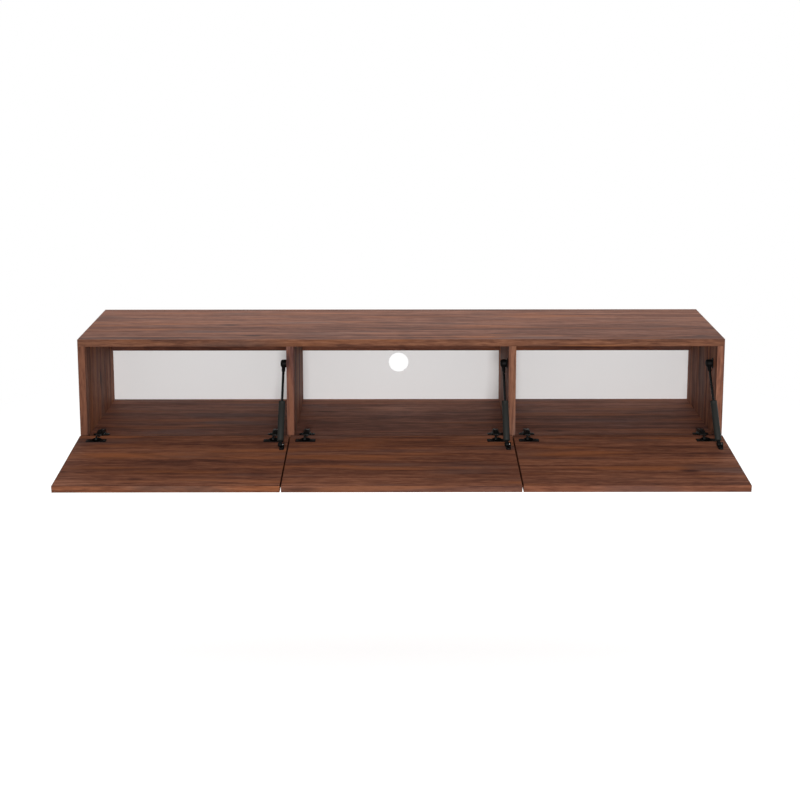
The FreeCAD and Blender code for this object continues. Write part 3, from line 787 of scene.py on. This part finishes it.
# ---- Screws
def cross_screw(seat, way, radius=SCREW_HEAD[0], height=SCREW_HEAD[1]):
    """A pan head with a cross recess; way points out of the head."""
    origin = Vector((0, 0, 0))
    profile = [(height * along, radius * out) for along, out in HEAD_PROFILE]
    bm = turned(origin, Z_AXIS, profile, SCREW_STEPS)
    bmesh.ops.holes_fill(bm, edges=bm.edges[:], sides=0)
    reach, half = radius * CROSS_REACH, radius * CROSS_HALF

    def flat_top():
        return [face for face in bm.faces
                if min(vert.co.z for vert in face.verts) > height - WELD]

    for across in (X_AXIS, Y_AXIS):
        for offset in (-reach, -half, half, reach):
            cut_along(bm, across * offset, across, flat_top(), WELD / 2)
    recess = []
    for face in flat_top():
        centre = face.calc_center_median()
        near, far = sorted((abs(centre.x), abs(centre.y)))
        if near < half and far < reach:
            recess.append(face)
    drawn_out(bm, recess, Z_AXIS * -height * CROSS_DEPTH)
    stand = Z_AXIS.rotation_difference(way).to_matrix()
    bmesh.ops.rotate(bm, cent=origin, matrix=stand, verts=bm.verts[:])
    bmesh.ops.translate(bm, vec=seat, verts=bm.verts[:])
    return bm


def fit_screws(screws, name, body, stands_for=()):
    """Screws on one body; those of a door are drawn on the closed door."""
    whole = together(*screws)
    if body.startswith("door_"):
        swung_open(whole)
    finished(whole, name, body, BLACK_SCREW, stands_for, METAL_CREASE)


# ---- Hinges
def flange_reach(angle):
    """How far the flange reaches from the cup's centre in one direction."""
    length, width, corner = EARS
    near, far = FLANGE_RADIUS, length + width
    while far - near > WELD:
        reach = (near + far) / 2
        beside = max(abs(math.cos(angle) * reach) - length + corner, 0)
        above = max(abs(math.sin(angle) * reach - EAR_UP) - width + corner, 0)
        if math.hypot(beside, above) < corner:
            near = reach
        else:
            far = reach
    return near


def flange_angles():
    """Even steps round the cup, and closer ones round the corners of the ears."""
    length, width, corner = EARS
    turns = [math.tau * step / FLANGE_STEPS for step in range(FLANGE_STEPS)]
    for side in (-1, 1):
        for rise in (-1, 1):
            for step in range(QUARTER_STEPS + 1):
                bend = QUARTER_TURN * step / QUARTER_STEPS
                x = side * (length - corner + corner * math.cos(bend))
                y = EAR_UP + rise * (width - corner + corner * math.sin(bend))
                turns.append(math.atan2(y, x) % math.tau)
    return sorted(turns)


def cup_flange(centre):
    """The ring round the cup's mouth and its two ears, as one thin plate."""
    bm = bmesh.new()
    turns = flange_angles()
    mouth, edge = [
        [bm.verts.new((math.cos(turn) * reach, math.sin(turn) * reach, 0))
         for turn, reach in zip(turns, reaches)]
        for reaches in ([FLANGE_MOUTH] * len(turns), [flange_reach(turn) for turn in turns])
    ]
    for i, vert in enumerate(mouth):
        bm.faces.new((mouth[i - 1], edge[i - 1], edge[i], vert))
    thicken(bm, bm.faces[:], Z_AXIS * FLANGE)
    rim = [edge for edge in bm.edges
           if min(vert.co.z for vert in edge.verts) > FLANGE - WELD
           and min(vert.co.xy.length for vert in edge.verts) > CUP_RADIUS + 0.5
           and edge.calc_face_angle(0.0) > math.radians(SHARP)]
    bevelled(bm, rim, FLANGE_EASE)
    # stand it up: the plate's X stays along the door, its Y turns up and its Z into the bay
    stand = Matrix(((1, 0, 0), (0, 0, 1), (0, 1, 0)))
    bmesh.ops.transform(bm, matrix=stand.to_4x4(), verts=bm.verts[:])
    bmesh.ops.translate(bm, vec=centre, verts=bm.verts[:])
    bmesh.ops.reverse_faces(bm, faces=bm.faces[:])
    return bm


def cup_well(centre):
    floor = CUP_DEPTH - CUP_WALL
    return turned(centre, -Y_AXIS, [
        (floor, 0), (floor, CUP_HOLLOW - CUP_COVE), (floor - CUP_COVE, CUP_HOLLOW),
        (-FLANGE, CUP_HOLLOW), (-FLANGE, CUP_HOLLOW + CUP_LIP), (-FLANGE * 0.6, CUP_RADIUS),
        (CUP_DEPTH - CUP_EDGE, CUP_RADIUS), (CUP_DEPTH, CUP_RADIUS - CUP_EDGE), (CUP_DEPTH, 0),
    ], steps=WIDE_STEPS)


def make_cups(bay):
    body = "door_" + bay
    cups, screws = [], []
    for x in hinge_places(bay):
        centre = cup_centre(x)
        cups += [cup_well(centre), cup_flange(centre)]
        screws += [cross_screw(centre + Vector((side * CUP_SCREW, FLANGE, EAR_UP)), Y_AXIS)
                   for side in (-1, 1)]
    finished(swung_open(together(*cups)), "cups_" + bay, body, BLACK_STEEL,
             ["hinge_cups_" + bay], METAL_CREASE)
    fit_screws(screws, "cup_screws_" + bay, body, ["hinge_cup_screws_" + bay])


def arm_outline(clear_of):
    """The arm from the side; its underside clears what swings within a radius."""
    drop = ARM_UNDERSIDE - PIVOT.z
    underneath = arc(clear_of, NOSE_ANGLE, math.degrees(math.asin(drop / clear_of)), ARM_STEPS)
    heel = Vector((0, ARM_REAR, ARM_UNDERSIDE))
    back = [Vector((0, y, ARM_TOP - below)) for y, below in ARM_BACK]
    nose = on_swing(LINK_OUTER + ARM_PLAY + CUP_WALL, NOSE_ANGLE)
    return [*underneath, heel, *back, nose]


def hinge_arm(x):
    """Two cheeks that clear the door's edge, and a web between them over the links."""
    left = X_AXIS * (x - ARM_WIDTH / 2)
    cheek_line = [point + left for point in arm_outline(SWEEP + ARM_PLAY)]
    cheeks = [eased(filled([point + X_AXIS * shift for point in cheek_line], X_AXIS * CHEEK),
                    CHEEK_EASE) for shift in (0, ARM_WIDTH - CHEEK)]
    web_line = [point + left + X_AXIS * CHEEK for point in arm_outline(LINK_OUTER + ARM_PLAY)]
    web = eased(filled(web_line, X_AXIS * (ARM_WIDTH - CHEEK * 2)), WEB_EASE)
    return [*cheeks, web]


def hinge_plate(x):
    """The block under the arm, its two screwed wings and the shoulders on them."""
    wing_rear = WING_FRONT + WING_LENGTH

    def centred(half, front, rear, height):
        return block(x - half, x + half, front, rear, SHELF, SHELF + height)

    body = centred(ARM_WIDTH / 2, PLATE_FRONT, ARM_REAR, ARM_UNDERSIDE - SHELF)
    wings = centred(WING_HALF, WING_FRONT, wing_rear, WING_THICK)
    corners_rounded(wings, Z_AXIS, WING_ROUND)
    shoulders = centred(SHOULDER_HALF, WING_FRONT - SHOULDER_SPARE,
                        wing_rear + SHOULDER_SPARE, SHOULDER_HEIGHT)
    return [eased(body, PLATE_EASE), eased(wings, WING_EASE), eased(shoulders, SHOULDER_EASE)]


def plate_screws(x):
    middle = WING_FRONT + WING_LENGTH / 2
    return [cross_screw(Vector((x + side * PLATE_SCREW, middle, SHELF + WING_THICK)), Z_AXIS)
            for side in (-1, 1)]


def adjusting_screws(x):
    return [cross_screw(Vector((x, y, ARM_TOP - below)), Vector((0, lean, 1)).normalized(),
                        *ADJUSTER_HEAD) for y, below, lean in ADJUSTERS]


def make_hinge_bases():
    places = [x for bay in BAYS for x in hinge_places(bay)]
    for shape, name in ((hinge_arm, "arms"), (hinge_plate, "plates")):
        solids = [solid for x in places for solid in shape(x)]
        finished(together(*solids), name, "cabinet", HINGE_STEEL,
                 ["hinge_" + name], METAL_CREASE)
    fit_screws([screw for x in places for screw in plate_screws(x)],
               "plate_screws", "cabinet", ["hinge_plate_screws"])
    fit_screws([screw for x in places for screw in adjusting_screws(x)],
               "adjusting_screws", "cabinet")


def curved_link(x, left, right, first, last):
    """A flat strip bent round the turning axis."""
    bm = bmesh.new()
    corners = ((LINK_INNER, left), (LINK_INNER, right), (LINK_OUTER, right), (LINK_OUTER, left))
    section = [on_swing(radius, first) + X_AXIS * (x + side) for radius, side in corners]
    face = bm.faces.new([bm.verts.new(point) for point in section])
    bmesh.ops.spin(
        bm, geom=[face, *face.edges, *face.verts], cent=PIVOT, axis=X_AXIS, dvec=(0, 0, 0),
        angle=math.radians(last - first), steps=LINK_STEPS, use_merge=False,
    )
    bmesh.ops.recalc_face_normals(bm, faces=bm.faces[:])
    bevelled(bm, outward_corners(bm), LINK_EASE)
    return bm


def make_links(bay):
    for kind, shape in LINKS.items():
        node = "hinge_" + kind + "_links_" + bay
        links = together(*[curved_link(x, *shape) for x in hinge_places(bay)])
        finished(links, kind + "_links_" + bay, node, HINGE_STEEL,
                 [node], METAL_CREASE)


# ---- Gas struts
def door_ball(bay):
    """Centre of the ball on a closed door."""
    x = BAYS[bay][1] - STRUT_INSET
    return Vector((x, DOOR_FACE + DOOR_BALL_LIFT, DOOR_BASE + DOOR_BALL_UP))


def wall_ball(bay):
    return Vector((BAYS[bay][1] - STRUT_INSET, *WALL_BALL))


def ball_socket(centre, way, reach, head):
    """A moulded socket: a drum round the ball, open towards the wall, and its shank."""
    radius, half = head
    hollow = BALL + BALL_PLAY
    turns = [math.radians(SEAT_MOUTH + (180 - SEAT_MOUTH) * step / SEAT_STEPS)
             for step in range(SEAT_STEPS + 1)]
    seat = [(math.cos(turn) * hollow, math.sin(turn) * hollow) for turn in turns]
    dome = [(half * DOME_RISE * (1 - math.sin(turn)) - half,
             radius * (DOME_FLAT + DOME_ROUND * math.cos(turn)))
            for turn in (QUARTER_TURN * step / QUARTER_STEPS
                         for step in range(QUARTER_STEPS, -1, -1))]
    drum = turned(centre, X_AXIS, [
        (-half, 0), *dome, (half - DRUM_EDGE, radius), (half, radius - DRUM_EDGE),
        (half, STUD + STUD_PLAY), *seat, (-hollow, 0),
    ])
    shank = turned(centre, way, [
        (SHANK_START, 0), (SHANK_START, SHANK), (reach - SHANK_EDGE, SHANK),
        (reach, SHANK - SHANK_EDGE), (reach, 0),
    ])
    return [drum, shank]


def ball_and_stud(centre, reach):
    ball = bmesh.new()
    bmesh.ops.create_uvsphere(ball, u_segments=32, v_segments=18, radius=BALL)
    bmesh.ops.translate(ball, vec=centre, verts=ball.verts[:])
    stud = rod_shape(centre + X_AXIS * STUD_ROOT, X_AXIS, STUD, reach - STUD_ROOT,
                     STUD_EDGE, STUD_STEPS)
    return [ball, stud]


def gas_tube(start, way, length):
    """A tube with a turned groove near its open end, and a floor at the other."""
    groove = [(TUBE_GROOVE + along, TUBE_RADIUS - depth)
              for along, depth in ((0, 0), (1, GROOVE_DEPTH), (2, GROOVE_DEPTH), (3, 0))]
    closing = [(length - back, TUBE_RADIUS - inwards) for back, inwards in TUBE_CLOSING]
    return turned(start, way, [
        (length - TUBE_FLOOR, 0), (length - TUBE_FLOOR, TUBE_BORE), (0, TUBE_BORE),
        (0, TUBE_RADIUS - TUBE_EDGE), (TUBE_EDGE, TUBE_RADIUS), *groove, *closing, (length, 0),
    ], steps=WIDE_STEPS)


def make_socket(end, bay, centre, way, reach, head, body):
    finished(together(*ball_socket(centre, way, reach, head)), end + "_socket_" + bay, body,
             BLACK_PLASTIC, ["strut_" + end + "_socket_" + bay], SOCKET_CREASE)


def make_strut(bay):
    upper = wall_ball(bay)
    lower = PIVOT + DOOR_SWING @ (door_ball(bay) - PIVOT)
    way = (lower - upper).normalized()
    tube_end = (lower - upper).length - LOWER_REACH
    rod_body, tube_body = "strut_rod_" + bay, "strut_tube_" + bay

    tube = gas_tube(upper + way * TUBE_START, way, tube_end - TUBE_START)
    finished(tube, "gas_tube_" + bay, tube_body, STRUT_PAINT,
             ["strut_tube_" + bay], METAL_CREASE)
    rod = rod_shape(upper + way * ROD_START, way, ROD_RADIUS, ROD_END - ROD_START, ROD_EDGE)
    finished(rod, "gas_rod_" + bay, rod_body, ROD_STEEL,
             ["strut_rod_" + bay], METAL_CREASE)
    make_socket("upper", bay, upper, way, UPPER_REACH, UPPER_HEAD, rod_body)
    finished(together(*ball_and_stud(upper, UPPER_HEAD[1])), "upper_ball_" + bay, rod_body,
             BALL_STEEL, crease=SOCKET_CREASE)
    make_socket("lower", bay, lower, -way, LOWER_REACH, LOWER_HEAD, tube_body)


def make_wall_brackets():
    width, length, corner = WALL_PLATE
    brackets, screws = [], []
    for bay, (_, wall) in BAYS.items():
        ball = wall_ball(bay)
        plate = block(wall - BRACKET, wall, ball.y - width / 2, ball.y + width / 2,
                      ball.z - length / 2, ball.z + length / 2)
        brackets.append(eased(corners_rounded(plate, X_AXIS, corner), BRACKET_EASE))
        boss = STRUT_INSET - UPPER_HEAD[1] - BOSS_GAP
        brackets.append(rod_shape(Vector((wall - boss, ball.y, ball.z)), X_AXIS, BALL,
                                  boss - BOSS_EDGE, BOSS_EDGE, BOSS_STEPS))
        for side in (-1, 1):
            seat = Vector((wall - BRACKET, ball.y, ball.z + side * (length / 2 - SCREW_EDGE)))
            screws.append(cross_screw(seat, -X_AXIS))
    finished(together(*brackets), "wall_brackets", "cabinet", BLACK_STEEL,
             ["strut_wall_brackets"], METAL_CREASE)
    fit_screws(screws, "bracket_screws", "cabinet", ["wall_bracket_screws"])


def bracket_tab(wall, ball):
    """The upright leaf of a door's bracket, rounded at its end, that carries the stud."""
    tab = block(wall - BRACKET, wall, DOOR_FACE + TAB_ROOT, ball.y + TAB_HALF,
                ball.z - TAB_HALF, ball.z + TAB_HALF)
    ends = [edge for edge in tab.edges
            if min(vert.co.y for vert in edge.verts) > ball.y
            and abs(edge.verts[0].co.x - edge.verts[1].co.x) > 1]
    bevelled(tab, ends, TAB_ROUND, CORNER_SEGMENTS)
    return eased(tab, TAB_EASE)


def make_door_bracket(bay):
    body = "door_" + bay
    wall = BAYS[bay][1] - TAB_GAP
    ball = door_ball(bay)
    width, length, corner = DOOR_FOOT
    foot = block(wall - width, wall, DOOR_FACE, DOOR_FACE + BRACKET,
                 ball.z - length / 2, ball.z + length / 2)
    foot = eased(corners_rounded(foot, Y_AXIS, corner), BRACKET_EASE)
    finished(swung_open(together(foot, bracket_tab(wall, ball))), "door_bracket_" + bay, body,
             BLACK_STEEL, ["strut_door_bracket_" + bay], METAL_CREASE)
    stud = ball_and_stud(ball, STRUT_INSET - TAB_GAP - BRACKET)
    finished(swung_open(together(*stud)), "lower_ball_" + bay, body,
             BALL_STEEL, crease=SOCKET_CREASE)
    seats = [Vector((wall - width / 2, DOOR_FACE + BRACKET,
                     ball.z + side * (length / 2 - SCREW_EDGE))) for side in (-1, 1)]
    fit_screws([cross_screw(seat, Y_AXIS) for seat in seats], "door_bracket_fixings_" + bay, body,
               ["door_bracket_screws_" + bay])


# ---- Pieces of the frame that keep their shape
def dress(node, material):
    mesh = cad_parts[node].data
    mesh.materials.clear()
    mesh.materials.append(material)


def dress_kept_nodes():
    for bay in BAYS:
        dress("back_panel_" + bay, WHITE_BOARD)
        # the rails' walnut is darkened as painted shade under the top
        dress("wall_rail_" + bay, walnut("rail_" + bay, **RAIL_PAINTED_SHADE_LOOK))
        dress("strut_rod_guide_" + bay, BLACK_PLASTIC)
        dress("strut_piston_" + bay, BLACK_PLASTIC)
    dress("assembly_dowels", DOWEL_WOOD)
    dress("divider_screws", ZINC)
    dress("back_panel_nails", ZINC)


# ---- Setting: floor, light and camera, in metres
WHITE = (1, 1, 1, 1)
FLOOR_LEVEL = -0.72
FLOOR_SIZE = 14.0
FLOOR_COLOUR = (0.66, 0.66, 0.66, 1)
FLOOR_GLOW = 0.64           # for rays that see the floor
FLOOR_FADE = (0.9, 2.4)     # how far out the floor starts and ends turning plain white
AMBIENT = 0.51
FRONT_LIGHT = {"spot": (0, -7.6, 1.48), "target": (0, 0, -0.1), "size": (1.5, 1.1), "power": 366}
TOP_LIGHT = {"spot": (0, 2.0, 2.1), "target": (0, -0.2, 0), "size": (3.6, 1.0), "power": 66}
CAMERA_PLACE = (-0.01046, -3.69425, 1.00076)
CAMERA_TURN = (QUARTER_TURN - 0.1399, 0.0004, -0.0018)      # it looks down by 8 degrees
SENSOR = 36.0               # width of the film and length of the lens, in millimetres
LENS = 55.925
LENS_SHIFT = (0.0006, -0.28)
CAMERA_RANGE = (0.05, 60.0)


class Setting:
    """The shader of the floor or the sky."""

    def __init__(self, tree):
        self.tree = tree
        tree.nodes.clear()

    def node(self, kind, first=None, second=None, **settings):
        made = self.tree.nodes.new(kind)
        for name, value in settings.items():
            setattr(made, name, value)
        for socket, source in zip(made.inputs, (first, second)):
            if source is not None:
                self.tree.links.new(source, socket)
        return made

    def shade(self, kind, colour, strength=None):
        made = self.tree.nodes.new(kind)
        made.inputs["Color"].default_value = colour
        if strength is not None:
            made.inputs["Strength"].default_value = strength
        return made.outputs[0]

    def seen(self):
        """1 for rays that see the setting directly, by gloss or through something clear."""
        path = self.node("ShaderNodeLightPath").outputs
        seen = path["Is Camera Ray"]
        for kind in ("Is Glossy Ray", "Is Transmission Ray"):
            seen = self.node("ShaderNodeMath", seen, path[kind], operation="MAXIMUM").outputs[0]
        return seen

    def choose(self, factor, first, second):
        made = self.tree.nodes.new("ShaderNodeMixShader")
        for socket, source in zip(made.inputs, (factor, first, second)):
            self.tree.links.new(source, socket)
        return made.outputs[0]

    def finish(self, kind, shader):
        self.tree.links.new(shader, self.node(kind).inputs["Surface"])


def floor_paint():
    paint = bpy.data.materials.new("floor_paint")
    paint.use_nodes = True
    studio = Setting(paint.node_tree)
    diffuse = studio.shade("ShaderNodeBsdfDiffuse", FLOOR_COLOUR)
    glow = studio.shade("ShaderNodeEmission", WHITE, FLOOR_GLOW)
    white = studio.shade("ShaderNodeEmission", WHITE, 1.0)
    lit = studio.node("ShaderNodeAddShader", diffuse, glow).outputs[0]
    place = studio.node("ShaderNodeTexCoord").outputs["Object"]
    away = studio.node("ShaderNodeVectorMath", place, operation="LENGTH").outputs["Value"]
    fade = studio.node("ShaderNodeMapRange", away, interpolation_type="SMOOTHSTEP")
    fade.inputs["From Min"].default_value, fade.inputs["From Max"].default_value = FLOOR_FADE
    look = studio.choose(fade.outputs["Result"], lit, white)
    studio.finish("ShaderNodeOutputMaterial", studio.choose(studio.seen(), diffuse, look))
    return paint


def make_floor():
    bm = bmesh.new()
    bmesh.ops.create_grid(bm, x_segments=1, y_segments=1, size=FLOOR_SIZE / 2)
    bmesh.ops.translate(bm, vec=(0, 0, FLOOR_LEVEL), verts=bm.verts[:])
    mesh = bpy.data.meshes.new("floor")
    bm.to_mesh(mesh)
    bm.free()
    floor = bpy.data.objects.new("floor", mesh)
    bpy.context.scene.collection.objects.link(floor)
    mesh.materials.append(floor_paint())


def make_world():
    world = bpy.data.worlds.new("studio")
    bpy.context.scene.world = world
    world.use_nodes = True
    studio = Setting(world.node_tree)
    ambient = studio.shade("ShaderNodeBackground", WHITE, AMBIENT)
    backdrop = studio.shade("ShaderNodeBackground", WHITE, 1.0)
    studio.finish("ShaderNodeOutputWorld", studio.choose(studio.seen(), ambient, backdrop))


def make_lamp(name, spot, target, size, power):
    """A soft rectangular lamp; size is its width and height."""
    data = bpy.data.lights.new(name, "AREA")
    data.shape = "RECTANGLE"
    data.size, data.size_y = size
    data.energy = power
    lamp = bpy.data.objects.new(name, data)
    bpy.context.scene.collection.objects.link(lamp)
    lamp.location = spot
    lamp.rotation_euler = (Vector(target) - Vector(spot)).to_track_quat("-Z", "Y").to_euler()


def make_camera():
    data = bpy.data.cameras.new("camera")
    data.sensor_width = SENSOR
    data.lens = LENS
    data.shift_x, data.shift_y = LENS_SHIFT
    data.clip_start, data.clip_end = CAMERA_RANGE
    camera = bpy.data.objects.new("camera", data)
    bpy.context.scene.collection.objects.link(camera)
    camera.location = CAMERA_PLACE
    camera.rotation_euler = CAMERA_TURN
    bpy.context.scene.camera = camera


# ---- The whole console
make_camera()
make_world()
make_floor()
make_lamp("front_light", **FRONT_LIGHT)
make_lamp("top_light", **TOP_LIGHT)
dress_kept_nodes()
make_boards()
for bay in BAYS:
    make_door(bay)
    make_cups(bay)
    make_links(bay)
    make_strut(bay)
    make_door_bracket(bay)
make_hinge_bases()
make_wall_brackets()

bpy.context.scene.view_settings.view_transform = "Standard"
